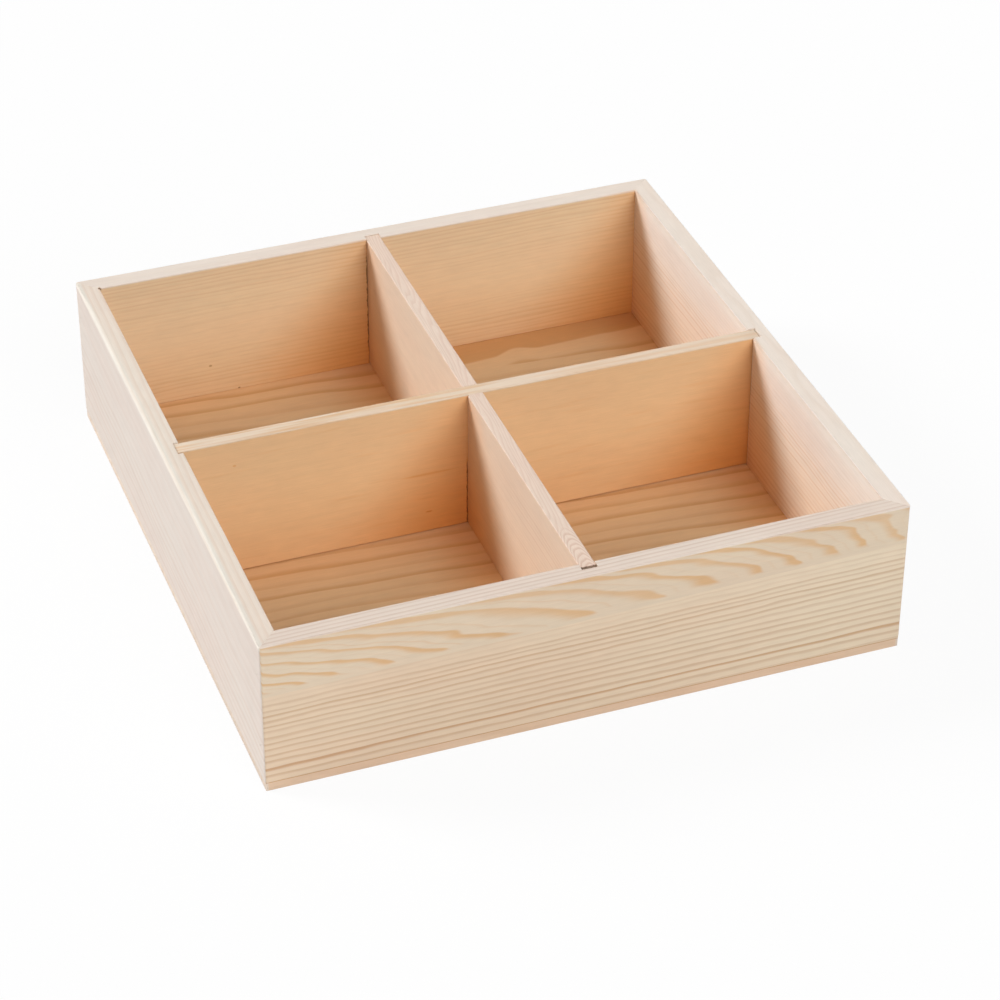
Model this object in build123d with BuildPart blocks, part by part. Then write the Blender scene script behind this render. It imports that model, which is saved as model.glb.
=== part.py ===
from build123d import *
import os

# Low pine tray: four mitred walls stand on a nailed bottom panel, and two dividers,
# halved into each other at the crossing, drop into grooves in the walls.
# X runs right along the front, Y from front to back, Z up.
# The origin is the middle of the underside. Sizes are in millimetres.

# Outside of the tray
tray_width = 250.0
tray_depth = 258.0
tray_height = 65.0

# Boards
wall_thickness = 8.0
bottom_thickness = 4.0
bottom_inset = 0.3  # the bottom panel's edges lie this far behind the wall faces
divider_thickness = 6.2

# Sanded edges
rim_easing = 0.5
corner_easing = 0.6
divider_easing = 0.3

# Grooves for the dividers, cut in the inner face of each wall from top to bottom
groove_depth = 3.5
groove_side_clearance = 0.2

# Dividers: where they stand, and the gap at each end to the bottom of its groove
front_back_divider_x = 0.0
left_right_divider_y = 0.0
front_end_gap = 1.8
back_end_gap = 0.3
left_end_gap = 0.5
right_end_gap = 0.5
divider_setback = 0.4  # divider tops lie this far below the rim

# Halving joint at the crossing
halving_side_clearance = 0.2
halving_gap = 0.3

# Headless pins through the mitres, driven in from the left and right faces
pin_diameter = 0.64
pin_length = 18.0
pin_set = 0.5  # the pin's end lies this far under the surface
pins_per_corner = 2
pin_spacing = 32.0

# Brads up through the bottom panel into the walls
brad_shank_length = 1.25
brad_shank_width = 1.0
brad_head_length = 2.0
brad_head_height = 0.6
brad_length = 15.0
brad_point = 1.0
brad_point_taper = 15.0
brad_set = 0.2  # the head lies this far under the underside
brads_per_wall = 4
brad_end_margin = 30.0

# Worked out from the sizes above
wall_height = tray_height - bottom_thickness
groove_width = divider_thickness + 2 * groove_side_clearance
divider_height = wall_height - divider_setback
notch_width = divider_thickness + 2 * halving_side_clearance
half_level = bottom_thickness + divider_height / 2
groove_bottom_x = tray_width / 2 - wall_thickness + groove_depth
groove_bottom_y = tray_depth / 2 - wall_thickness + groove_depth


def standing_plane(x, y, along, height):
    """Level plane at a wall's outer face: local X runs along the wall, local Y points into the tray."""
    return Plane(origin=(x, y, height), x_dir=along, z_dir=(0, 0, 1))


# Each wall: its place, the way it runs, its outside length and where its groove is along it
walls = {
    "front_wall": ((0, -tray_depth / 2), (1, 0, 0), tray_width, front_back_divider_x),
    "right_wall": ((tray_width / 2, 0), (0, 1, 0), tray_depth, left_right_divider_y),
    "back_wall": ((0, tray_depth / 2), (-1, 0, 0), tray_width, -front_back_divider_x),
    "left_wall": ((-tray_width / 2, 0), (0, -1, 0), tray_depth, -left_right_divider_y),
}

os.makedirs("parts", exist_ok=True)

# Corner pins, and the holes that they fill
pin_x = tray_width / 2 - pin_set
pin_y = tray_depth / 2 - wall_thickness / 2
pin_z = bottom_thickness + wall_height / 2

with BuildPart() as corner_pins:
    for side in (-1, 1):
        with BuildSketch(Plane(origin=(side * pin_x, 0, pin_z), x_dir=(0, 1, 0), z_dir=(-side, 0, 0))):
            with GridLocations(2 * pin_y, pin_spacing, 2, pins_per_corner):
                Circle(pin_diameter / 2)
        extrude(amount=pin_length)

with BuildPart() as pin_holes:
    add(corner_pins.part)
    pin_ends = corner_pins.faces().filter_by(Plane.YZ).group_by(Axis.X)
    extrude(pin_ends[0], amount=pin_set, dir=(-1, 0, 0))
    extrude(pin_ends[-1], amount=pin_set, dir=(1, 0, 0))

corner_pins.part.label = "corner_pins"
export_step(corner_pins.part, "parts/corner_pins.step")

# Bottom brads, and the holes that they fill
shank_from = brad_set + brad_head_height
point_from = brad_set + brad_length - brad_point

with BuildPart() as bottom_brads:
    for (x, y), along, length, _ in walls.values():
        brad_step = (length - 2 * brad_end_margin) / (brads_per_wall - 1)
        for start, reach, brad_section, taper in (
            (brad_set, brad_head_height, brad_head_length, 0),
            (shank_from, point_from - shank_from, brad_shank_length, 0),
            (point_from, brad_point, brad_shank_length, brad_point_taper),
        ):
            with BuildSketch(standing_plane(x, y, along, start)):
                with Locations((0, wall_thickness / 2)):
                    with GridLocations(brad_step, 0, brads_per_wall, 1):
                        Rectangle(brad_section, brad_shank_width)
            extrude(amount=reach, taper=taper)

with BuildPart() as brad_holes:
    add(bottom_brads.part)
    extrude(bottom_brads.faces().filter_by(Plane.XY).group_by(Axis.Z)[0], amount=brad_set, dir=(0, 0, -1))

bottom_brads.part.label = "bottom_brads"
export_step(bottom_brads.part, "parts/bottom_brads.step")

# Walls: mitred boards with eased rims, one groove each, and holes for pins and brads
for wall_name, ((x, y), along, length, groove_at) in walls.items():
    wall_foot = standing_plane(x, y, along, bottom_thickness)
    with BuildPart() as wall:
        with BuildSketch(wall_foot):
            with BuildLine():
                Polyline(
                    (corner_easing - length / 2, 0),
                    (length / 2 - corner_easing, 0),
                    (length / 2 - corner_easing / 2, corner_easing / 2),
                    (length / 2 - wall_thickness, wall_thickness),
                    (wall_thickness - length / 2, wall_thickness),
                    (corner_easing / 2 - length / 2, corner_easing / 2),
                    close=True,
                )
            make_face()
        extrude(amount=wall_height)
        fillet(wall.edges().group_by(Axis.Z)[-1].filter_by(Axis((0, 0, 0), along)), rim_easing)
        with BuildSketch(wall_foot):
            with Locations((groove_at, wall_thickness - groove_depth / 2)):
                Rectangle(groove_width, groove_depth)
        extrude(amount=wall_height, mode=Mode.SUBTRACT)
        add(pin_holes.part, mode=Mode.SUBTRACT)
        add(brad_holes.part, mode=Mode.SUBTRACT)
    wall.part.label = wall_name
    export_step(wall.part, f"parts/{wall_name}.step")

# Bottom panel under the walls
with BuildPart() as bottom_panel:
    with BuildSketch(Plane.XY):
        Rectangle(tray_width - 2 * bottom_inset, tray_depth - 2 * bottom_inset)
    extrude(amount=bottom_thickness)
    add(brad_holes.part, mode=Mode.SUBTRACT)

bottom_panel.part.label = "bottom_panel"
export_step(bottom_panel.part, "parts/bottom_panel.step")

# Divider from front to back, notched from above
front_end = front_end_gap - groove_bottom_y
back_end = groove_bottom_y - back_end_gap

with BuildPart() as front_back_divider:
    with BuildSketch(Plane.YZ.offset(front_back_divider_x)):
        with Locations((front_end, bottom_thickness)):
            Rectangle(back_end - front_end, divider_height, align=(Align.MIN, Align.MIN))
    extrude(amount=divider_thickness / 2, both=True)
    fillet(front_back_divider.edges().group_by(Axis.Z)[-1].filter_by(Axis.Y), divider_easing)
    with BuildSketch(Plane.YZ.offset(front_back_divider_x)):
        with Locations((left_right_divider_y, half_level - halving_gap / 2)):
            Rectangle(notch_width, divider_height, align=(Align.CENTER, Align.MIN))
    extrude(amount=divider_thickness, both=True, mode=Mode.SUBTRACT)

front_back_divider.part.label = "front_back_divider"
export_step(front_back_divider.part, "parts/front_back_divider.step")

# Divider from side to side, notched from below
left_end = left_end_gap - groove_bottom_x
right_end = groove_bottom_x - right_end_gap

with BuildPart() as left_right_divider:
    with BuildSketch(Plane.XZ.offset(-left_right_divider_y)):
        with Locations((left_end, bottom_thickness)):
            Rectangle(right_end - left_end, divider_height, align=(Align.MIN, Align.MIN))
    extrude(amount=divider_thickness / 2, both=True)
    fillet(left_right_divider.edges().group_by(Axis.Z)[-1].filter_by(Axis.X), divider_easing)
    with BuildSketch(Plane.XZ.offset(-left_right_divider_y)):
        with Locations((front_back_divider_x, half_level + halving_gap / 2)):
            Rectangle(notch_width, divider_height, align=(Align.CENTER, Align.MAX))
    extrude(amount=divider_thickness, both=True, mode=Mode.SUBTRACT)

left_right_divider.part.label = "left_right_divider"
export_step(left_right_divider.part, "parts/left_right_divider.step")
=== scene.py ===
import math

import bmesh
import bpy
from mathutils import Matrix, Vector, noise


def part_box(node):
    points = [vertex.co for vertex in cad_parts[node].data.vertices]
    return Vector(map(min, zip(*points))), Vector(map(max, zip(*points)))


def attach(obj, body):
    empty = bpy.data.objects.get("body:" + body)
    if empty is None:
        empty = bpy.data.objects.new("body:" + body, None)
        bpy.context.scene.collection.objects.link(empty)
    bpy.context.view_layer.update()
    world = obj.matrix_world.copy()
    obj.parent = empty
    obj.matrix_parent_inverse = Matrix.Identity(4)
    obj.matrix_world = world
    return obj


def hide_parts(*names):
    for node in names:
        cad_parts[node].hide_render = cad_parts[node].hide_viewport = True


# Low pine tray: four mitred walls on a nailed bottom panel, and two crossing dividers that lift out.
# Each board is a lofted mesh with eased edges, and its figure is solid: growth rings are a formula
# of the place inside the board, so that they run on from a face over its edge.
# Lengths are in metres in the CAD frame. The wood's formulas are in millimetres.

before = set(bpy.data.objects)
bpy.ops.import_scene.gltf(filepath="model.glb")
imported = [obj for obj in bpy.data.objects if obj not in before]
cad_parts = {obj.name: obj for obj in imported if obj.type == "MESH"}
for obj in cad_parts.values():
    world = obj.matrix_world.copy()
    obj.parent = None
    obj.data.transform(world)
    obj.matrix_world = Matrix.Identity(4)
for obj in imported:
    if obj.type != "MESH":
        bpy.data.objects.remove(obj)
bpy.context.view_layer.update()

MM = 0.001
MM_PER_METRE = 1000

# Sizes read from the frame
front_low, front_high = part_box("front_wall")
left_low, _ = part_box("left_wall")
_, right_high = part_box("right_wall")
_, back_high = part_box("back_wall")
panel_low, panel_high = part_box("bottom_panel")
cross_low, cross_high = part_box("left_right_divider")
long_low, long_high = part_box("front_back_divider")
WIDTH = right_high.x - left_low.x
DEPTH = back_high.y - front_low.y
FOOT = front_low.z
RIM = front_high.z
WALL = front_high.y - front_low.y
DIVIDER = cross_high.y - cross_low.y

# Joints between the boards
SNUG = 0.04 * MM  # clearance of a divider that fits closely
LOOSE = 1.3 * MM  # clearance in front of the left-right divider's left end
EASY = 0.35 * MM  # clearance in front of its right end
SHORT = 0.95 * MM  # how much its left end falls short of the right one
SLIT = 0.4 * MM  # the gap under it, because it hangs on the other divider
GROOVE_DEPTH = 3.5 * MM  # in the front and right walls
BACK_GROOVE_DEPTH = 3.25 * MM
LEFT_GROOVE_DEPTH = 2.1 * MM
NOTCH_WIDTH = DIVIDER + 2 * SNUG
HALF_LEVEL = (cross_low.z + cross_high.z) / 2
HALVING_GAP = 0.3 * MM

# Sanded edges
RIM_EASING = 0.2 * MM
RIM_TAPER = 16 * MM  # how far from a mitre a rounder rim begins
FOOT_EASING = 0.18 * MM
INNER_FOOT_EASING = 0.4 * MM
DIVIDER_EASING = 0.3 * MM
DIVIDER_FOOT_EASING = 0.3 * MM
END_EASING = 0.12 * MM
PANEL_EASING = 0.2 * MM
CORNER_EASING = 0.9 * MM
ARRIS = 0.08 * MM  # the groove's edges, which are nearly sharp
SEAM_DEPTH = 0.07 * MM  # how far the edges of a mitre are drawn in
UNEVENNESS = 0.3  # the share by which a sanded radius varies
UNEVEN_LENGTH = 18 * MM  # the distance along an edge over which it varies

# Mesh spacing
ARC_STEPS = 4
SUPPORT = 0.35 * MM  # how far beside a round edge its extra point lies
STATION_STEP = 8 * MM  # between sections along a board
CORNER_ZONE = 1.6 * WALL  # the end of a wall, which has no even stations
MITRE_FAN = 1 * MM  # how far the last sections of a wall spread on its inner face
SMOOTH_ANGLE = math.radians(35)


# Boards as lofted sections

def outline(thickness, height, easings):
    """Points (across, up) round a section. Easings are its radii at the outer foot, inner foot, inner top
    and outer top. A point beside each round edge keeps the flat stretches flat under smooth shading."""
    corners = ((0, 0), (thickness, 0), (thickness, height), (0, height))
    points = []
    for quarter, ((across, up), radius) in enumerate(zip(corners, easings)):
        centre = Vector((
            min(max(across, radius), thickness - radius),
            min(max(up, radius), height - radius),
        ))
        first = math.pi + quarter * math.pi / 2
        arc = []
        for step in range(ARC_STEPS + 1):
            angle = first + step / ARC_STEPS * math.pi / 2
            arc.append(centre + radius * Vector((math.cos(angle), math.sin(angle))))
        before = Vector((math.sin(first), -math.cos(first)))
        last = first + math.pi / 2
        after = Vector((-math.sin(last), math.cos(last)))
        points += [arc[0] + SUPPORT * before, *arc, arc[-1] + SUPPORT * after]
    return points


def section(outer, inner, height, easings, sink=0.0):
    """A board's section between two points (along, inward) of its plan.
    Sink draws it in on every side but the foot."""
    outer, inner = Vector(outer), Vector(inner)
    across = (inner - outer).normalized()
    outer, inner = outer + sink * across, inner - sink * across
    thickness = (inner - outer).length
    return [
        (*(outer + across * reach), up)
        for reach, up in outline(thickness, height - sink, easings)
    ]


def loft(name, sections, origin, along, inward):
    """A closed mesh through the sections, set in the frame by the board's origin and directions."""
    origin, along, inward = Vector(origin), Vector(along), Vector(inward)
    shape = bmesh.new()
    rings = [
        [shape.verts.new(origin + along * u + inward * v + Vector((0, 0, up))) for u, v, up in points]
        for points in sections
    ]
    for ring, following in zip(rings, rings[1:]):
        for i in range(len(ring)):
            j = (i + 1) % len(ring)
            shape.faces.new((ring[i], ring[j], following[j], following[i]))
    shape.faces.new(rings[0])
    shape.faces.new(rings[-1])
    bmesh.ops.recalc_face_normals(shape, faces=shape.faces)
    mesh = bpy.data.meshes.new(name)
    shape.to_mesh(mesh)
    shape.free()
    piece = bpy.data.objects.new(name, mesh)
    bpy.context.scene.collection.objects.link(piece)
    return piece


def spread(start, end):
    """Places from start to end, about a station's step apart, with neither end."""
    count = max(2, round((end - start) / STATION_STEP))
    return [start + (end - start) * i / count for i in range(1, count)]


def uneven(easing, place, seed):
    """A sanded radius that varies a little along an edge."""
    return easing * (1 + UNEVENNESS * noise.noise(Vector((place / UNEVEN_LENGTH, seed, 0.5))))


def wall_plan(length, depth, clearance):
    """One half of a wall's plan, from its groove to its mitre, as (outer point, inner point, sink)."""
    half = length / 2
    groove = DIVIDER / 2 + clearance
    bottom = WALL - depth
    plan = [
        ((groove - 2 * ARRIS, 0), (groove - ARRIS, bottom), 0),
        ((groove - ARRIS, 0), (groove, bottom + ARRIS), 0),
        ((groove + ARRIS, 0), (groove, WALL - ARRIS), 0),
        ((groove + 2 * ARRIS, 0), (groove + ARRIS, WALL), 0),
    ]
    straight_end = half - CORNER_ZONE
    plan += [((u, 0), (u, WALL), 0) for u in spread(groove + ARRIS, straight_end)]
    mitre_inner = half - WALL
    for share in (0, 1 / 3, 2 / 3, 1):
        turn = share * math.pi / 4
        outer = (half - CORNER_EASING * (1 - math.sin(turn)), CORNER_EASING * (1 - math.cos(turn)))
        inner = (mitre_inner - (1 - share) * MITRE_FAN, WALL)
        plan.append((outer, inner, SEAM_DEPTH if share == 1 else 0))
    return plan


def rim_radius(radii, place, length, seed):
    """A rim edge's radius. It runs from one value to another along a wall, and is alike at every mitre."""
    start, end = radii
    share = place / length + 0.5
    full = min(1, max(0, (length / 2 - WALL - abs(place)) / RIM_TAPER))
    broad = start + (end - start) * share
    return uneven(RIM_EASING + full * (broad - RIM_EASING), place, seed)


def wall(name, origin, along, inward, length, groove, rims, seed):
    """A mitred wall with one groove in the middle of its inner face.
    Groove gives its depth and the clearance on each side of the divider.
    Rims give the radius of the inner and the outer top edge, each at the wall's start and end."""
    depth, before, after = groove
    first_half = reversed(wall_plan(length, depth, before))
    mirrored = [((-outer[0], outer[1]), (-inner[0], inner[1]), sink) for outer, inner, sink in first_half]
    sections = []
    for outer, inner, sink in mirrored + wall_plan(length, depth, after):
        in_groove = inner[1] < WALL - 2 * ARRIS
        inner_rim = ARRIS if in_groove else rim_radius(rims[0], inner[0], length, seed)
        outer_rim = rim_radius(rims[1], outer[0], length, seed + 3)
        easings = (FOOT_EASING, INNER_FOOT_EASING, inner_rim, outer_rim)
        sections.append(section(outer, inner, RIM - FOOT, easings, sink))
    return loft(name, sections, (*origin, FOOT), along, inward)


def plank(name, low, high, along, inward, easing, foot_easing, seed):
    """A plain board that fills its box, with eased edges and ends.
    Along and inward are the box's own axes."""
    along, inward = Vector(along), Vector(inward)
    size = high - low
    length, thickness = abs(size.dot(along)), abs(size.dot(inward))
    ends = ((0, END_EASING), (0.3 * END_EASING, 0.3 * END_EASING), (END_EASING, 0))
    plan = list(ends)
    plan += [(distance, 0) for distance in spread(END_EASING, length - END_EASING)]
    plan += [(length - distance, sink) for distance, sink in reversed(ends)]
    sections = []
    for distance, sink in plan:
        top, foot = uneven(easing, distance, seed), uneven(foot_easing, distance, seed + 3)
        easings = (foot, foot, top, top)
        sections.append(section((distance, 0), (distance, thickness), size.z, easings, sink))
    return loft(name, sections, low, along, inward)


def box_cutter(shape, low, high):
    """Adds a box to a cutter's mesh."""
    middle, size = (Vector(low) + Vector(high)) / 2, Vector(high) - Vector(low)
    bmesh.ops.create_cube(shape, size=1, matrix=Matrix.Translation(middle) @ Matrix.Diagonal((*size, 1)))


def pin_cutter(shape, place, radius, length):
    """Adds a thin rod along X to a cutter's mesh."""
    turn = Matrix.Translation(place) @ Matrix.Rotation(math.pi / 2, 4, "Y")
    bmesh.ops.create_cone(
        shape, cap_ends=True, segments=16, radius1=radius, radius2=radius, depth=length, matrix=turn
    )


def chip_cutter(shape, place, size, seed):
    """Adds a small ragged lump to a cutter's mesh, for a chip knocked out of an edge."""
    made = bmesh.ops.create_icosphere(shape, subdivisions=1, radius=1)
    for vert in made["verts"]:
        ragged = 1 + 0.35 * noise.noise(vert.co * 1.7 + Vector((seed, seed, seed)))
        vert.co = Vector(place) + Vector([c * s * ragged for c, s in zip(vert.co, size)])


def torn_edge(shape, foot, head, size, count, seed):
    """Adds chips of different sizes along an upright edge to a cutter's mesh."""
    foot, head = Vector(foot), Vector(head)
    for i in range(count):
        luck = noise.noise(Vector((seed, 2.3 * i, 0.7)))
        place = foot.lerp(head, (i + 0.5 + 0.4 * luck) / count)
        chip_cutter(shape, place, [length * (1 + 0.5 * luck) for length in size], seed + i)


def cut(piece, shape):
    """Takes a cutter's mesh out of a piece."""
    mesh = bpy.data.meshes.new("cutter")
    bmesh.ops.recalc_face_normals(shape, faces=shape.faces)
    shape.to_mesh(mesh)
    shape.free()
    cutter = bpy.data.objects.new("cutter", mesh)
    bpy.context.scene.collection.objects.link(cutter)
    difference = piece.modifiers.new("cut", "BOOLEAN")
    difference.operation = "DIFFERENCE"
    difference.solver = "EXACT"
    difference.use_self = True
    difference.object = cutter
    made = bpy.data.meshes.new_from_object(piece.evaluated_get(bpy.context.evaluated_depsgraph_get()))
    piece.modifiers.clear()
    uncut = piece.data
    piece.data = made
    made.name = uncut.name
    bpy.data.meshes.remove(uncut)
    bpy.data.objects.remove(cutter)
    bpy.data.meshes.remove(mesh)


def dress(piece, material, body, node):
    """Shades a piece, gives it its material and puts it in the place of its CAD node."""
    piece.data.shade_smooth()
    piece.data.set_sharp_from_angle(angle=SMOOTH_ANGLE)
    piece.data.materials.clear()
    piece.data.materials.append(material)
    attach(piece, body)
    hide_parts(node)


# Formulas over a surface

class Field:
    """A number that varies over a surface.
    It wraps a shader socket, so that a wood's figure reads as sums."""

    def __init__(self, socket):
        self.socket = socket

    def __add__(self, other):
        return combine("ADD", self, other)

    def __sub__(self, other):
        return combine("SUBTRACT", self, other)

    def __rsub__(self, other):
        return combine("SUBTRACT", other, self)

    def __mul__(self, other):
        return combine("MULTIPLY", self, other)

    def __truediv__(self, other):
        return combine("DIVIDE", self, other)

    __radd__ = __add__
    __rmul__ = __mul__

    def power(self, exponent):
        return combine("POWER", self, exponent)

    def floor(self):
        return combine("FLOOR", self)

    def fraction(self):
        return combine("FRACT", self)

    def magnitude(self):
        return combine("ABSOLUTE", self)

    def at_least(self, other):
        return combine("MAXIMUM", self, other)

    def at_most(self, other):
        return combine("MINIMUM", self, other)

    def above(self, other):
        return combine("GREATER_THAN", self, other)

    def ramp(self, low, high):
        """0 below low, 1 above high, and smooth between them."""
        tree = self.socket.id_data
        node = tree.nodes.new("ShaderNodeMapRange")
        node.interpolation_type = "SMOOTHSTEP"
        tree.links.new(self.socket, node.inputs["Value"])
        node.inputs["From Min"].default_value = low
        node.inputs["From Max"].default_value = high
        return Field(node.outputs["Result"])


def combine(operation, *values):
    """A Math node over fields and plain numbers."""
    tree = next(value.socket.id_data for value in values if isinstance(value, Field))
    node = tree.nodes.new("ShaderNodeMath")
    node.operation = operation
    for value, socket in zip(values, node.inputs):
        if isinstance(value, Field):
            tree.links.new(value.socket, socket)
        else:
            socket.default_value = value
    return Field(node.outputs[0])


def cloud(a, b, c, detail=2.0):
    """Smooth noise from about -1 to 1, whose patches are about 1 unit of each coordinate."""
    tree = a.socket.id_data
    point = tree.nodes.new("ShaderNodeCombineXYZ")
    for value, socket in zip((a, b, c), point.inputs):
        tree.links.new(value.socket, socket)
    node = tree.nodes.new("ShaderNodeTexNoise")
    node.inputs["Scale"].default_value = 1
    node.inputs["Detail"].default_value = detail
    tree.links.new(point.outputs[0], node.inputs["Vector"])
    return (Field(node.outputs["Fac"]) - 0.5) * 3.5


def chance(number):
    """A random value from 0 to 1 for each whole number."""
    tree = number.socket.id_data
    node = tree.nodes.new("ShaderNodeTexWhiteNoise")
    node.noise_dimensions = "1D"
    tree.links.new(number.socket, node.inputs["W"])
    return Field(node.outputs["Value"])


def blend(amount, first, second):
    """A colour between two, each a plain colour or a socket."""
    tree = amount.socket.id_data
    node = tree.nodes.new("ShaderNodeMix")
    node.data_type = "RGBA"
    tree.links.new(amount.socket, node.inputs[0])
    for colour, socket in zip((first, second), (node.inputs[6], node.inputs[7])):
        if isinstance(colour, bpy.types.NodeSocket):
            tree.links.new(colour, socket)
        else:
            socket.default_value = (*colour, 1)
    return node.outputs[2]


def tint(colour, filter_colour):
    """A colour seen through another."""
    tree = colour.id_data
    node = tree.nodes.new("ShaderNodeVectorMath")
    node.operation = "MULTIPLY"
    tree.links.new(colour, node.inputs[0])
    tree.links.new(filter_colour, node.inputs[1])
    return node.outputs[0]


def shade(colour, amount):
    """A colour made lighter or darker by a field."""
    tree = colour.id_data
    node = tree.nodes.new("ShaderNodeVectorMath")
    node.operation = "SCALE"
    tree.links.new(colour, node.inputs[0])
    tree.links.new(amount.socket, node.inputs["Scale"])
    return node.outputs[0]


def srgb(red, green, blue):
    """A linear colour from its usual values of 0 to 255."""
    def linear(value):
        share = value / 255
        return share / 12.92 if share <= 0.04045 else ((share + 0.055) / 1.055) ** 2.4
    return linear(red), linear(green), linear(blue)


def new_material(name):
    """An empty material, with its shader and the frame's X, Y and Z in millimetres."""
    material = bpy.data.materials.new(name)
    material.use_nodes = True
    tree = material.node_tree
    place = tree.nodes.new("ShaderNodeTexCoord")
    parts = tree.nodes.new("ShaderNodeSeparateXYZ")
    tree.links.new(place.outputs["Object"], parts.inputs[0])
    x, y, z = (Field(socket) * MM_PER_METRE for socket in parts.outputs)
    return material, tree.nodes["Principled BSDF"], (x, y, z)


def bump(shader, height, distance):
    """Gives a shader a surface relief. Distance is the depth in metres of a height of 1."""
    tree = shader.id_data
    node = tree.nodes.new("ShaderNodeBump")
    node.inputs["Strength"].default_value = 1
    node.inputs["Distance"].default_value = distance
    tree.links.new(height.socket, node.inputs["Height"])
    tree.links.new(node.outputs[0], shader.inputs["Normal"])


# Pine

def latewood(ring, rise, peak, end=0.98, wider=0.0):
    """How dark the wood is at a place in its ring: it darkens slowly and stops short at the ring's end."""
    part = ring.fraction()
    return (part + wider).ramp(rise, peak) * (1 - part.ramp(end - 0.12, end))


def per_ring(ring, weakest, strongest, seed):
    """A strength that differs from ring to ring."""
    return weakest + chance(ring.floor() + seed) * (strongest - weakest)


def fleck(u, d, at_u, at_d, length, height):
    """A small resin mark on a face, darker than any ring."""
    apart = ((u - at_u) / length).power(2) + ((d - at_d) / height).power(2)
    return 2 * (1 - apart.ramp(0.2, 1.0))


def torn_gap_shade(across, d, seed):
    """A ragged dark line down a face, painted shade of the gap where the edge of a groove or notch has torn
    out.
    """
    ragged = cloud(d / 2.5 + seed, d / 9, d / 40)
    return 2.4 * (1 - (across.magnitude() / (0.45 + ragged * 0.4).at_least(0.05)).ramp(0.6, 1.2))


PAINTED_SHADE_ORANGE = (0.96, 0.58, 0.24)  # painted shade: the deep orange of the shaded corners, tinted into the wood's colour
SHADE_KEPT_ON_LIT_FACES = 0.35  # how much of the painted shade is kept on faces that get more light


def pine(name, place, figure, tones, painted_shade, seed):
    """Bare sanded pine, made by four functions.
    Place turns X, Y and Z into the distance along the grain, down the face and into the board.
    Figure gives how much dark latewood shows there, and more than 1 for resin.
    Tones give the colour of the clear wood and the factors by which latewood darkens it.
    The fourth gives how much painted shade, the deep orange of shaded corners, is tinted into the colour."""
    material, shader, xyz = new_material(name)
    tree = material.node_tree
    u, d, v = place(*xyz)
    rings = figure(u, d, v)
    summer = rings.at_most(1)
    resin = (rings - 1).at_least(0)
    shift = seed * 31.7
    fibre = cloud(u / 7 + shift, d / 0.32, v / 0.32)
    streak = cloud(u / 45 + shift, d / 1.6, v / 1.6)
    patch = cloud(u / 60 + shift, d / 22, v / 22, 1.0)
    mottle = cloud(u / 11 + shift, d / 4, v / 4)
    dash = cloud(u / 3.2 + shift, d / 0.45, v / 0.45, 1.0).ramp(0.9, 1.5)

    ground, late = tones(u, d, v)
    warmth = blend(patch.ramp(-0.8, 0.8), (1.0, 0.975, 0.955), (0.99, 0.995, 0.98))
    colour = tint(tint(ground, warmth), blend(summer, (1, 1, 1), late))
    # painted shade: the shaded corners and far ends of the compartments tinted a deeper orange
    colour = tint(colour, blend(painted_shade(u, d, v), (1, 1, 1), PAINTED_SHADE_ORANGE))
    grain = fibre * 0.04 + streak * 0.025 + patch * 0.012 + mottle * 0.025
    light = 1 + grain - dash * 0.085 - resin * 0.4
    tree.links.new(shade(colour, light), shader.inputs["Base Color"])

    rough = 0.66 + fibre * 0.05 + streak * 0.03 - summer * 0.06
    tree.links.new(rough.socket, shader.inputs["Roughness"])
    shader.inputs["Specular IOR Level"].default_value = 0.25
    bump(shader, fibre * 0.5 + streak * 0.3 + summer * 0.5, 0.02 * MM)
    return material


half_width, half_depth = WIDTH / 2 / MM, DEPTH / 2 / MM
rim_mm, foot_mm, wall_mm = RIM / MM, FOOT / MM, WALL / MM
divider_mm = DIVIDER / MM
setback_mm = (RIM - cross_high.z) / MM


def rim_down_to(start, end):
    """The rim of a wall, paler than its faces. It fades into them between two depths."""
    def on_rim(u, d, v):
        return 1 - d.ramp(start, end)
    return on_rim


wall_rim = rim_down_to(0.25, 0.8)
left_rim = rim_down_to(0.7, 2.2)


def divider_top(u, d, v):
    """The top edge of a divider."""
    return 1 - (d - setback_mm).ramp(0.15, 0.6)


def panel_outside(u, d):
    """The bottom panel's four upright edges."""
    sideways = (u - half_width).magnitude().ramp(half_width - 1.2, half_width - 0.6)
    lengthways = (d - half_depth).magnitude().ramp(half_depth - 1.2, half_depth - 0.6)
    return sideways.at_least(lengthways)


def panel_edge(u, d, v):
    """The bottom panel's edges and underside."""
    return v.ramp(0.2, 0.6).at_least(panel_outside(u, d))


def tones_of(face, edge, late, on_edge):
    """Tones of a board with one colour on its faces and another on its edge."""
    def tones(u, d, v):
        return blend(on_edge(u, d, v), face, edge), late
    return tones


def shaded_end(u, half, reach, full=0.0):
    """Nearness to the far end of each compartment along a board that is twice the half long.
    Full is the share of the reach over which it does not fade."""
    past_middle = (u - half).above(0)
    gap = half - divider_mm / 2 - u + past_middle * (half - wall_mm + divider_mm / 2)
    return 1 - (gap / reach).ramp(full, 1)


def lit_end(u, half, reach):
    """Nearness to the other end of each compartment."""
    past_middle = (u - half).above(0)
    gap = u - wall_mm - past_middle * (half - wall_mm + divider_mm / 2)
    return 1 - (gap / reach).ramp(0, 1)


def painted_corner_shade(u, d, half, stretch=1.0, full=0.0):
    """Painted shade on an inner face: strongest low down and near its compartment's shaded end.
    Stretch scales that end's zone, and full is the share of it that does not fade."""
    depth = d.ramp(2, 62)
    return depth * 0.18 + shaded_end(u, half, (20 + d * 0.8) * stretch, full) * (0.32 + 0.4 * depth)


def more_lit_side(v):
    """A divider's back or right face, which is more lit and gets less painted shade than its front or left
    one.
    """
    return v.ramp(divider_mm / 2 - 0.5, divider_mm / 2 + 0.5)


# Front wall: one board, figured as two strips glued edge to edge along a slanting line

GLUE_DEPTH = 22.6  # millimetres under the rim, at the left end
GLUE_RISE = 0.0245  # for each millimetre to the right


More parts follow.
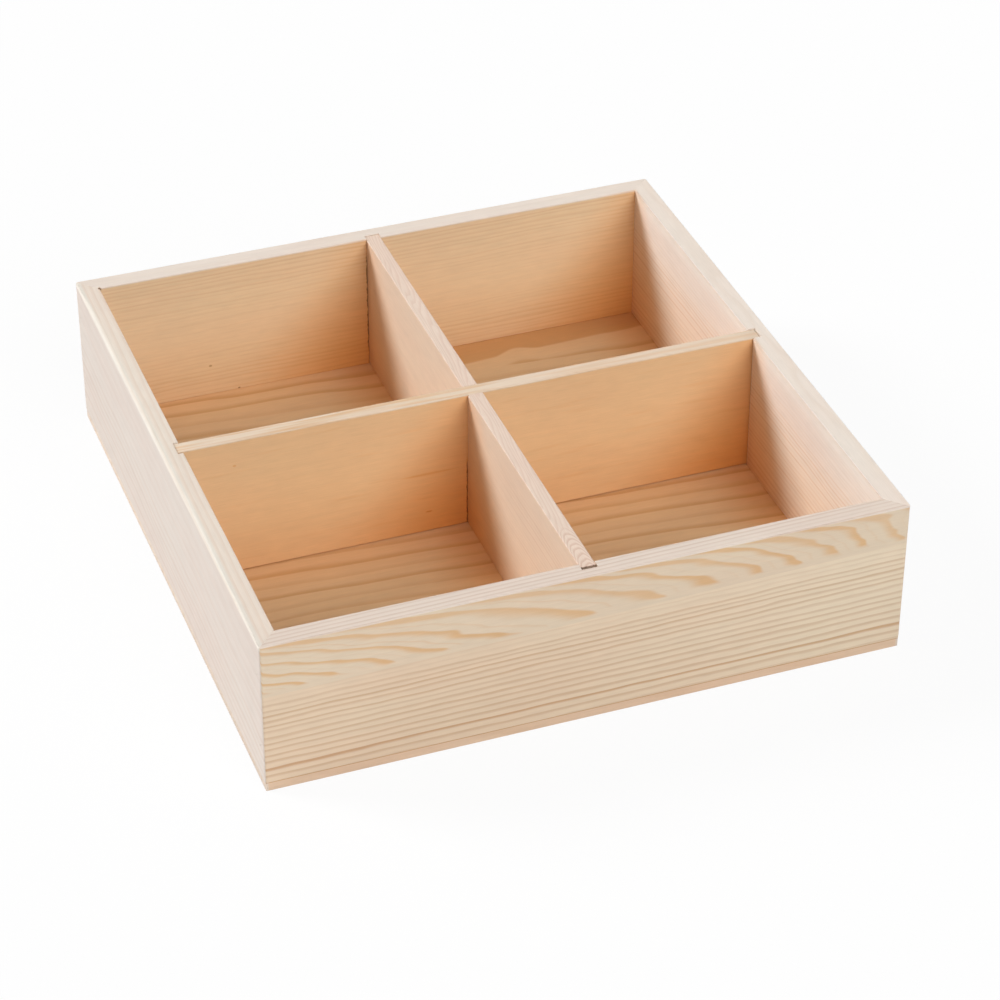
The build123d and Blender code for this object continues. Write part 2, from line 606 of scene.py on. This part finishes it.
def front_place(x, y, z):
    return x + half_width, rim_mm - z, y + half_depth


def glue_line(u):
    return GLUE_DEPTH - u * GLUE_RISE


def front_waves(u, d, v):
    return cloud(u / 38, d / 9, v / 9, 1.0), cloud(u / 16, d / 5, v / 5, 1.0)


def lower_rings(u, d, v):
    """The lower strip's straight rings, which widen towards the foot, and where the darkest one is."""
    wave, ripple = front_waves(u, d, v)
    uneven_rings = cloud(u / 150, d / 4.5, v / 4.5, 1.0)
    height = rim_mm - d + wave * 0.3 + ripple * 0.25 + uneven_rings * 0.5
    level = height * (1 - u * 0.00025) - u * 0.002
    ring = level * 0.28 + level * level * 0.0022 + v * 0.08 - 0.3
    return ring, 1 - (ring - 2.7).magnitude().ramp(0.35, 0.45)


def front_figure(u, d, v):
    """Upper strip: broad rings that lean down to the right and end at the glue line.
    Lower strip: close rings, faint just under the glue line."""
    wave, ripple = front_waves(u, d, v)
    glue = glue_line(u)

    down = (d.at_least(0) / glue).power(0.65)
    lean = 110 * (1 - (u / 265).at_least(0).power(2.2))
    start = u - down * lean + wave * 5 + ripple * 3
    right = (start - 40).at_least(0)
    left = (40 - start).at_least(0)
    spacing = right * (0.0235 + right * 0.00007) - left * (0.016 + left * 0.00018)
    upper_ring = spacing - v * 0.77 + 0.79
    flare = (1 - d.ramp(1, 5)) * 0.36 + (d / glue).ramp(0.5, 1.0) * 0.06
    tip = 1 - (d - glue + ripple * 1.3).ramp(-3.4, -1.4)
    strength = per_ring(upper_ring, 0.8, 1.15, 11) * (0.8 + 0.2 * (d / glue).ramp(0.2, 0.8)) * tip
    between = upper_ring * 2 + 0.35
    fading = per_ring(between, 0.1, 0.5, 5) * (1 - 0.6 * u.ramp(110, 170))
    hairline = latewood(between, 0.66, 0.9) * fading * tip
    upper = (latewood(upper_ring, 0.48, 0.85, wider=flare) * strength).at_least(hairline).at_most(1)

    ring, darkest = lower_rings(u, d, v)
    close = latewood(ring, 0.35, 0.75) * per_ring(ring, 0.45, 0.9, 4).at_least(darkest)
    lower = close * (0.3 + 0.7 * (d - glue).ramp(0, 9))
    below = (d - glue).ramp(-0.15, 0.15)
    face = upper * (1 - below) + lower * below

    rim = wall_rim(u, d, v)
    rim_ring = v * 0.48 - u * 0.011 + wave * 0.12
    return face * (1 - rim) + latewood(rim_ring, 0.35, 0.8) * per_ring(rim_ring, 0.4, 1.0, 6) * rim


def front_tones(u, d, v):
    """The upper strip is cream with ochre rings. The lower one has brown rings, and lightens to the right."""
    below = (d - glue_line(u)).ramp(-0.15, 0.15)
    lower = blend(u.ramp(60, 230), srgb(227, 205, 180), srgb(232, 214, 190))
    face = blend(below, srgb(224, 205, 182), lower)
    brown = blend(lower_rings(u, d, v)[1], (0.81, 0.70, 0.61), (0.77, 0.61, 0.49))
    late = blend(below, (0.95, 0.75, 0.54), brown)
    rim = wall_rim(u, d, v)
    return blend(rim, face, srgb(235, 220, 208)), blend(rim, late, (0.88, 0.82, 0.78))


# Painted shade: a deep orange on the front wall's inner face, low down and near the shaded corners
def front_painted_shade(u, d, v):
    return painted_corner_shade(u, d, half_width) * v.ramp(wall_mm - 1, wall_mm - 0.3) * SHADE_KEPT_ON_LIT_FACES


# Left wall: faint rings that fall towards the front

def left_place(x, y, z):
    return half_depth - y, rim_mm - z, x + half_width


def left_figure(u, d, v):
    wave = cloud(u / 50, d / 12, v / 12, 1.0)
    level = d - u * 0.054 + wave * 1.6 + 16
    ring = level * 0.07 + level * level * 0.0018 + v * 0.5
    face = latewood(ring, 0.2, 0.8) * per_ring(ring, 0.15, 0.8, 7) * (0.35 + 0.5 * d.ramp(10, 40))
    rim = left_rim(u, d, v)
    stripe = v * 0.36 + u * 0.004 + wave * 0.2
    return face * (1 - rim) + latewood(stripe, 0.3, 0.8) * rim * 0.5


def left_tones(u, d, v):
    """The rounded outer edge, which catches the light, is whiter than the rest of the rim: a painted
    highlight.
    """
    rim = blend(v.ramp(1.2, 2.6), srgb(238, 231, 221), srgb(241, 228, 215))
    return blend(left_rim(u, d, v), srgb(219, 208, 200), rim), (0.92, 0.85, 0.80)


# Painted shade: a deep orange on the left wall's inner face, low down and near the shaded corners
def left_painted_shade(u, d, v):
    return painted_corner_shade(2 * half_depth - u, d, half_depth) * v.ramp(wall_mm - 1, wall_mm - 0.3) * SHADE_KEPT_ON_LIT_FACES


# Right wall: close rings along its length, faint near the rim

def right_place(x, y, z):
    return half_depth - y, rim_mm - z, x - half_width + wall_mm


def right_figure(u, d, v):
    wave = cloud(u / 55, d / 10, v / 10, 1.0)
    ripple = cloud(u / 20, d / 5, v / 5, 1.0)
    level = d + wave * 0.8 + ripple * 0.3
    ring = level * 0.62 - level * level * 0.002 + v * 0.12
    return latewood(ring, 0.3, 0.8) * per_ring(ring, 0.2, 1.0, 3) * (0.2 + 0.75 * d.ramp(6, 28))


def right_tones(u, d, v):
    """The face warms towards its foot, and the rounded inner edge is a little duller than the rim: painted
    shade that tones down its highlight.
    """
    upper = blend(d.ramp(1, 9), srgb(246, 241, 236), srgb(241, 232, 226))
    face = blend(d.ramp(8, 38), upper, srgb(239, 223, 209))
    ground = blend(wall_rim(u, d, v), face, srgb(243, 231, 220))
    shaded_rim_edge = (1 - v.ramp(0.3, 0.8)) * (1 - d.ramp(0.3, 0.8))
    return blend(shaded_rim_edge, ground, srgb(232, 220, 211)), (0.88, 0.78, 0.69)


# Painted shadow: a deep orange that follows the shadow cast on the right wall's inner face near the back of
# each compartment
def right_painted_shadow(u, d, v):
    painted_shade = painted_corner_shade(2 * half_depth - u, d, half_depth, stretch=0.75, full=0.25)
    return painted_shade * (1 - v.ramp(0.3, 1)) * 0.8


# Back wall: fine rings near the rim and again near the foot, and two specks of resin

def back_place(x, y, z):
    return x + half_width, rim_mm - z, y - half_depth + wall_mm


def back_figure(u, d, v):
    wave = cloud(u / 60, d / 10, v / 10, 1.0)
    uneven_rings = cloud(u / 200, d / 5, v / 5, 1.0)
    level = d + u * 0.008 + wave * 0.9 + uneven_rings * 0.8
    ring = level * 0.5 + v * 0.15
    clear = (1 - d.ramp(12, 24)) * 0.45 + d.ramp(36, 48) * 0.5 + 0.2
    rings = latewood(ring, 0.3, 0.75) * per_ring(ring, 0.2, 0.9, 5) * clear * (1 - 0.8 * wall_rim(u, d, v))
    # painted shade in the torn gap at the left edge of the groove
    torn_shade = torn_gap_shade(u - half_width + divider_mm / 2, d, 3) * d.ramp(5, 12) * (1 - d.ramp(48, 58))
    # painted shade: a dark spot in the gap at the back-left inner corner, under the rim
    gap = fleck(u, d, wall_mm, 0.6, 0.8, 0.9) * 1.2
    marks = fleck(u, d, 52.3, 47, 0.9, 0.7) * 0.75 + fleck(u, d, 64.2, 60.4, 0.7, 0.5) + torn_shade + gap
    return rings + marks * (1 - v.ramp(0.5, 1.5))


# Painted shade: a deep orange on the back wall's inner face, low down and near the shaded right-hand corners
def back_painted_shade(u, d, v):
    return painted_corner_shade(u, d, half_width) * (1 - v.ramp(0.3, 1))


# Left-right divider: nearly plain faces with faint dashes, and soft brown zones along the top edge

def cross_place(x, y, z):
    return x + half_width, rim_mm - z, y + divider_mm / 2


def cross_figure(u, d, v):
    zone = cloud(u / 40 + 4, v / 1.9, v / 30, 1.0).ramp(-0.5, 0.8) * (1 - 0.45 * u.ramp(100, 150))
    top = divider_top(u, d, v)
    streaks = cloud(u / 30, d / 2.6, v / 2.6, 1.0).ramp(0.2, 1.4) * 0.4
    specks = fleck(u, d, 27.8, 11.5, 0.9, 0.6) * 0.4 + fleck(u, d, 105.6, 51.5, 1.8, 0.5) * 0.6
    line = fleck(u, d, 106, 33.5, 13, 0.6) * 0.35
    # painted shade where the face runs into the left wall's groove
    in_groove = 1 - u.ramp(wall_mm - 0.4, wall_mm - 0.1)
    # painted shade in the torn gap at the left edge of the notch
    torn_shade = torn_gap_shade(u - half_width + divider_mm / 2, d, 8) * d.ramp(28, 35)
    return top * zone + (1 - top) * (streaks + specks + line + torn_shade + in_groove * 1.6)


# Painted shade: a deep orange on the divider's faces near the shaded corners, weaker on its more lit back
# face
def cross_painted_shade(u, d, v):
    shade_share = 1 - (1 - SHADE_KEPT_ON_LIT_FACES) * more_lit_side(v)
    return painted_corner_shade(u, d, half_width) * (1 - divider_top(u, d, v)) * shade_share


# Front-back divider: plain peach faces with a few lines, slanting lines along its top, a front end darkened
# as end grain and as painted shade of its slot

def long_place(x, y, z):
    return half_depth - y, rim_mm - z, x + divider_mm / 2


def long_figure(u, d, v):
    wave = cloud(u / 40, d / 14, v / 5, 1.0)
    level = d + wave * 0.7 + v * 0.3
    faint = 0.12 + 0.55 * u.ramp(150, 210) * d.ramp(6, 14) * (1 - d.ramp(34, 46))
    face = latewood(level * 0.55, 0.3, 0.8) * per_ring(level * 0.55, 0.2, 1.0, 9) * faint

    ripple = cloud(u / 9, d / 9, v / 4, 1.0)
    slanting = v * 0.75 + u * 0.07 + wave * 1.4
    arcs = (u - (v - divider_mm / 2).power(2) * 0.7) / 3.3 + wave * 0.5 + ripple * 0.25
    ends = u.ramp(224, 232)
    edge = latewood(slanting, 0.3, 0.8) * (1 - ends) * 0.5 + latewood(arcs, 0.3, 0.8) * ends
    top = divider_top(u, d, v)
    # darker end grain, and painted shade of the slot in the front wall's groove
    end_grain_and_shade = (u - half_depth + long_low.y / MM).ramp(-0.12, -0.04)
    return face * (1 - top) + edge * top + end_grain_and_shade * 2.0


# Painted shade and shadow: a deep orange near each compartment's shaded end and low down behind the crossing,
# stronger in front, weaker on the more lit right face
def long_painted_shade(u, d, v):
    forwards = 2 * half_depth - u
    front_half = (u - half_depth).above(0)
    past_crossing = lit_end(forwards, half_depth, 30) * (1 - front_half) * d.ramp(20, 62) * 0.7
    painted_shade = painted_corner_shade(forwards, d, half_depth).at_least(past_crossing)
    face = (1 - divider_top(u, d, v)) * (1 - (1 - SHADE_KEPT_ON_LIT_FACES) * more_lit_side(v))
    return painted_shade * face * (0.8 + 0.25 * front_half)


# Bottom panel: rings from side to side, close together in front, and one broad wavy ring at the back right

BAY = 184  # millimetres from the left, where the broad ring is narrowest


def panel_place(x, y, z):
    return x + half_width, half_depth - y, foot_mm - z


def panel_figure(u, d, v):
    wave = cloud(u / 80, d / 30, v / 30, 1.0)
    ripple = cloud(u / 22, d / 8, v / 8, 1.0)
    forward = d - u * 0.07
    ring = forward / 9 + (forward / 170).power(4) * 1.6 + wave * 0.3 + ripple * 0.05 + v * 0.1
    thin = latewood(ring, 0.42, 0.88) * per_ring(ring, 0.3, 0.8, 2)
    swell = cloud(u / 17 + 9, d / 60, v / 60, 1.0)
    bay = 1 - (u - BAY).magnitude().ramp(0, 11)
    shore = 27.5 - u * 0.033 - bay * 3.2 + swell * 0.5
    back_right = u.ramp(126, 134)
    broad = (1 - (d - shore).ramp(-1.1, 0.7)) * back_right
    clear = 1 - back_right * (1 - (d - shore).ramp(7, 11))
    end_grain = 1 - 0.75 * panel_edge(u, d, v)
    # painted shade: a dark line along the joint under the walls, on the panel's upright edges
    joint_shade = panel_outside(u, d) * (1 - v.ramp(0.3, 0.6))
    return (thin * clear).at_least(broad * 0.85) * end_grain + joint_shade * 1.2


def panel_tones(u, d, v):
    """The ends of the panel, across the grain, are paler than its long edges."""
    end = (u - half_width).magnitude().ramp(half_width - 1.5, half_width - 0.8)
    edge = blend(end, srgb(226, 198, 172), srgb(224, 208, 194))
    return blend(panel_edge(u, d, v), srgb(242, 209, 168), edge), (0.78, 0.63, 0.46)


# Painted shade: a deep orange on each compartment's floor, strongest in its shaded corners and along its
# walls
def panel_painted_shade(u, d, v):
    forwards = 2 * half_depth - d
    sideways = shaded_end(u, half_width, 42).at_least(lit_end(u, half_width, 18) * 0.7)
    backwards = shaded_end(forwards, half_depth, 42).at_least(lit_end(forwards, half_depth, 18) * 0.8)
    nearest = sideways.at_least(backwards * 0.7)
    return 0.5 * nearest * nearest * (1 - panel_edge(u, d, v))


back_tones = tones_of(srgb(238, 213, 178), srgb(240, 227, 216), (0.88, 0.78, 0.68), wall_rim)
cross_tones = tones_of(srgb(240, 204, 160), srgb(237, 217, 196), (0.92, 0.75, 0.57), divider_top)
long_tones = tones_of(srgb(233, 214, 196), srgb(240, 218, 202), (0.88, 0.80, 0.76), divider_top)

front_pine = pine("front_pine", front_place, front_figure, front_tones, front_painted_shade, 1)
left_pine = pine("left_pine", left_place, left_figure, left_tones, left_painted_shade, 2)
right_pine = pine("right_pine", right_place, right_figure, right_tones, right_painted_shadow, 3)
back_pine = pine("back_pine", back_place, back_figure, back_tones, back_painted_shade, 4)
cross_pine = pine("cross_pine", cross_place, cross_figure, cross_tones, cross_painted_shade, 5)
long_pine = pine("long_pine", long_place, long_figure, long_tones, long_painted_shade, 6)
panel_pine = pine("panel_pine", panel_place, panel_figure, panel_tones, panel_painted_shade, 7)


# Steel of the pins and brads

def drawn_steel():
    """Bright wire with fine draw marks along it and a little dulling."""
    material, shader, (x, y, z) = new_material("drawn_steel")
    tree = material.node_tree
    marks = cloud(x / 4, y / 0.08, z / 0.08)
    dull = cloud(x / 1.5, y / 1.5, z / 1.5)
    colour = blend(dull.ramp(-0.9, 0.9), srgb(170, 172, 175), srgb(205, 206, 207))
    tree.links.new(colour, shader.inputs["Base Color"])
    shader.inputs["Metallic"].default_value = 1
    rough = 0.34 + marks * 0.05 + dull * 0.06
    tree.links.new(rough.socket, shader.inputs["Roughness"])
    bump(shader, marks, 0.004 * MM)
    return material


steel = drawn_steel()
for node in ("corner_pins", "bottom_brads"):
    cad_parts[node].data.materials.clear()
    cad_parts[node].data.materials.append(steel)


# Walls, with small round holes over the corner pins, a worn inner corner and a torn groove edge

PIN_HOLE = 0.33 * MM  # radius of the hole over a pin
PIN_DEPTH = 0.5 * MM
TORN_CHIP = (0.75 * MM, 0.5 * MM, 2.6 * MM)
CORNER_CHIP = (1.0 * MM, 0.8 * MM, 2.2 * MM)
CRISP_EDGE = (RIM_EASING, RIM_EASING)
CRISP = (CRISP_EDGE, CRISP_EDGE)
ROUND_INSIDE = ((0.5 * MM, 0.5 * MM), CRISP_EDGE)
ROUND_OUTSIDE = (CRISP_EDGE, (2.0 * MM, 0.7 * MM))
WALLS = {
    "front_wall": (
        (0, -DEPTH / 2), (1, 0, 0), (0, 1, 0), WIDTH,
        (GROOVE_DEPTH, SNUG, SNUG), CRISP, front_pine,
    ),
    "right_wall": (
        (WIDTH / 2, 0), (0, 1, 0), (-1, 0, 0), DEPTH,
        (GROOVE_DEPTH, EASY, SNUG), ROUND_INSIDE, right_pine,
    ),
    "back_wall": (
        (0, DEPTH / 2), (-1, 0, 0), (0, -1, 0), WIDTH,
        (BACK_GROOVE_DEPTH, SNUG, SNUG), CRISP, back_pine,
    ),
    "left_wall": (
        (-WIDTH / 2, 0), (0, -1, 0), (1, 0, 0), DEPTH,
        (LEFT_GROOVE_DEPTH, SNUG, LOOSE), ROUND_OUTSIDE, left_pine,
    ),
}  # where each stands, which way it runs and faces, its length, its groove, its rim edges and its wood
boards = {}
for seed, (node, (origin, along, inward, length, groove, rims, _)) in enumerate(WALLS.items()):
    boards[node] = wall(node + "_board", origin, along, inward, length, groove, rims, 5 * seed)

pin_low, pin_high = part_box("corner_pins")
for node, face in (("left_wall", -WIDTH / 2), ("right_wall", WIDTH / 2)):
    holes = bmesh.new()
    for y in (pin_low.y + PIN_HOLE, pin_high.y - PIN_HOLE):
        for z in (pin_low.z + PIN_HOLE, pin_high.z - PIN_HOLE):
            pin_cutter(holes, (face, y, z), PIN_HOLE, 2 * PIN_DEPTH)
    cut(boards[node], holes)

inner_x, inner_y = WIDTH / 2 - WALL, DEPTH / 2 - WALL
for node in ("left_wall", "back_wall"):
    gap = bmesh.new()
    chip_cutter(gap, (-inner_x, inner_y, RIM), CORNER_CHIP, seed=2)
    if node == "back_wall":
        edge = Vector((-DIVIDER / 2 - SNUG, inner_y, 0))
        torn_edge(gap, edge + Vector((0, 0, FOOT)), edge + Vector((0, 0, RIM)), TORN_CHIP, count=9, seed=4)
    cut(boards[node], gap)

for node, (*_, material) in WALLS.items():
    dress(boards[node], material, "tray", node)

# Bottom panel, with a recess round each brad's head

BRAD_HEAD = (2.2 * MM, 1.2 * MM)  # the recess along and across its wall, a little more than the head
BRAD_RECESS = 0.8 * MM
BRAD_MARGIN = 30 * MM
BRADS_PER_WALL = 4

panel = plank(
    "bottom_panel_board", panel_low, panel_high, (1, 0, 0), (0, 1, 0), PANEL_EASING, PANEL_EASING, seed=31
)
recesses = bmesh.new()
for origin, along, inward, length, *_ in WALLS.values():
    along, inward = Vector(along), Vector(inward)
    middle = Vector((*origin, 0)) + inward * WALL / 2
    step = (length - 2 * BRAD_MARGIN) / (BRADS_PER_WALL - 1)
    for i in range(BRADS_PER_WALL):
        place = middle + along * (i * step - length / 2 + BRAD_MARGIN)
        reach = along * BRAD_HEAD[0] / 2 + inward * BRAD_HEAD[1] / 2
        reach = Vector((abs(reach.x), abs(reach.y), BRAD_RECESS))
        box_cutter(recesses, place - reach, place + reach)
cut(panel, recesses)
dress(panel, panel_pine, "tray", "bottom_panel")

# Dividers, halved into each other where they cross

PAST = 5 * MM  # how far a cutter stands out of what it cuts
FRONT_CHIP_Y = -117.5 * MM
FRONT_CHIP = (0.45 * MM, 2.2 * MM, 0.5 * MM)
CROSSING_CHIP = (0.5 * MM, 0.9 * MM, 1.6 * MM)
TOP_CHIP_X = -41 * MM
TOP_CHIP = (1.4 * MM, 0.5 * MM, 0.4 * MM)

long_board = plank(
    "front_back_divider_board", long_low, long_high, (0, 1, 0), (1, 0, 0),
    DIVIDER_EASING, DIVIDER_FOOT_EASING, seed=41,
)
notch = bmesh.new()
box_cutter(
    notch,
    (long_low.x - PAST, -NOTCH_WIDTH / 2, HALF_LEVEL - HALVING_GAP / 2),
    (long_high.x + PAST, NOTCH_WIDTH / 2, long_high.z + PAST),
)
chip_cutter(notch, (long_low.x, FRONT_CHIP_Y, long_high.z), FRONT_CHIP, seed=3)
chip_cutter(notch, (long_low.x, -DIVIDER / 2, long_high.z), CROSSING_CHIP, seed=5)
cut(long_board, notch)
dress(long_board, long_pine, "front_back_divider", "front_back_divider")

cross_board = plank(
    "left_right_divider_board", cross_low + Vector((SHORT, 0, SLIT)), cross_high, (1, 0, 0), (0, 1, 0),
    DIVIDER_EASING, DIVIDER_FOOT_EASING, seed=47,
)
notch = bmesh.new()
box_cutter(
    notch,
    (-NOTCH_WIDTH / 2, cross_low.y - PAST, cross_low.z - PAST),
    (NOTCH_WIDTH / 2, cross_high.y + PAST, HALF_LEVEL + HALVING_GAP / 2),
)
chip_cutter(notch, (TOP_CHIP_X, cross_high.y, cross_high.z), TOP_CHIP, seed=8)
edge = Vector((-NOTCH_WIDTH / 2, cross_low.y, 0))
foot, head = edge + Vector((0, 0, cross_low.z)), edge + Vector((0, 0, HALF_LEVEL))
torn_edge(notch, foot, head, TORN_CHIP, count=6, seed=11)
cut(cross_board, notch)
dress(cross_board, cross_pine, "left_right_divider", "left_right_divider")


# Stage: white floor, two soft lamps from opposite corners and pale surroundings

FLOOR_SIZE = 8.0
FLOOR_DROP = 0.02 * MM  # keeps the floor clear of the underside
FLOOR_GREY = 0.95
FLOOR_WHITE = 0.93  # how far it looks plain white to the camera; the rest is its own light and shadow
HORIZON = 0.26  # strength of the light from the sides
ZENITH = 0.25  # and from overhead
LAMPS = {
    "back_left": ((-1.2, 0.85, 0.9), 2.4, 22),
    "front_right": ((0.3, -1.2, 0.8), 1.55, 40),
}  # where each comes from, its strength and its angle in degrees


def seen_directly(tree):
    """1 for what the camera sees, straight or through reflections."""
    path = tree.nodes.new("ShaderNodeLightPath")
    seen = Field(path.outputs["Is Camera Ray"])
    seen = seen.at_least(Field(path.outputs["Is Glossy Ray"]))
    return seen.at_least(Field(path.outputs["Is Transmission Ray"]))


def white_floor():
    shape = bmesh.new()
    bmesh.ops.create_grid(shape, x_segments=1, y_segments=1, size=FLOOR_SIZE / 2)
    mesh = bpy.data.meshes.new("floor")
    shape.to_mesh(mesh)
    shape.free()
    floor = bpy.data.objects.new("floor", mesh)
    floor.location.z = -FLOOR_DROP
    bpy.context.scene.collection.objects.link(floor)
    material, shader, _ = new_material("white_floor")
    tree = material.node_tree
    shader.inputs["Base Color"].default_value = (FLOOR_GREY, FLOOR_GREY, FLOOR_GREY, 1)
    shader.inputs["Roughness"].default_value = 0.9
    shader.inputs["Specular IOR Level"].default_value = 0
    white = tree.nodes.new("ShaderNodeEmission")
    mix = tree.nodes.new("ShaderNodeMixShader")
    amount = seen_directly(tree) * FLOOR_WHITE
    tree.links.new(amount.socket, mix.inputs[0])
    tree.links.new(shader.outputs[0], mix.inputs[1])
    tree.links.new(white.outputs[0], mix.inputs[2])
    tree.links.new(mix.outputs[0], tree.nodes["Material Output"].inputs["Surface"])
    mesh.materials.append(material)


def soft_light():
    for name, (place, strength, angle) in LAMPS.items():
        lamp = bpy.data.lights.new(name, "SUN")
        lamp.energy = strength
        lamp.angle = math.radians(angle)
        sun = bpy.data.objects.new(name, lamp)
        sun.rotation_mode = "QUATERNION"
        sun.rotation_quaternion = Vector(place).to_track_quat("Z", "Y")
        bpy.context.scene.collection.objects.link(sun)


def pale_surroundings():
    """The camera and reflections see white. The wood gets a dim, nearly even light."""
    world = bpy.data.worlds.new("surroundings")
    world.use_nodes = True
    tree = world.node_tree
    background = tree.nodes["Background"]
    background.inputs["Color"].default_value = (1, 1, 1, 1)
    place = tree.nodes.new("ShaderNodeTexCoord")
    parts = tree.nodes.new("ShaderNodeSeparateXYZ")
    tree.links.new(place.outputs["Generated"], parts.inputs[0])
    overhead = Field(parts.outputs["Z"]).ramp(0.2, 0.75)
    ambient = HORIZON + overhead * (ZENITH - HORIZON)
    seen = seen_directly(tree)
    strength = ambient + seen * (1 - ambient)
    tree.links.new(strength.socket, background.inputs["Strength"])
    bpy.context.scene.world = world


white_floor()
soft_light()
pale_surroundings()

# Camera, at the photograph's viewing angle

CAMERA_AZIMUTH = math.radians(-20.282)
CAMERA_ELEVATION = math.radians(35.183)
CAMERA_ROLL = math.radians(0.198)
CAMERA_DISTANCE = 1.3110  # from the middle of the underside
CAMERA_OFFSET = (0.01085, 0.01002)  # sideways and upwards in the picture
CAMERA_LENS = 118.48
CAMERA_SENSOR = 36.0


def place_camera():
    level = math.cos(CAMERA_ELEVATION)
    back = Vector((
        math.sin(CAMERA_AZIMUTH) * level,
        -math.cos(CAMERA_AZIMUTH) * level,
        math.sin(CAMERA_ELEVATION),
    ))
    right = Vector((0, 0, 1)).cross(back).normalized()
    up = back.cross(right)
    rolled_right = math.cos(CAMERA_ROLL) * right + math.sin(CAMERA_ROLL) * up
    rolled_up = back.cross(rolled_right)
    data = bpy.data.cameras.new("camera")
    data.lens = CAMERA_LENS
    data.sensor_width = CAMERA_SENSOR
    data.clip_start = 0.05
    data.clip_end = 50
    camera = bpy.data.objects.new("camera", data)
    turn = Matrix((rolled_right, rolled_up, back)).transposed().to_4x4()
    place = back * CAMERA_DISTANCE + rolled_right * CAMERA_OFFSET[0] + rolled_up * CAMERA_OFFSET[1]
    camera.matrix_world = Matrix.Translation(place) @ turn
    bpy.context.scene.collection.objects.link(camera)
    bpy.context.scene.camera = camera


place_camera()
bpy.context.scene.view_settings.view_transform = "Standard"
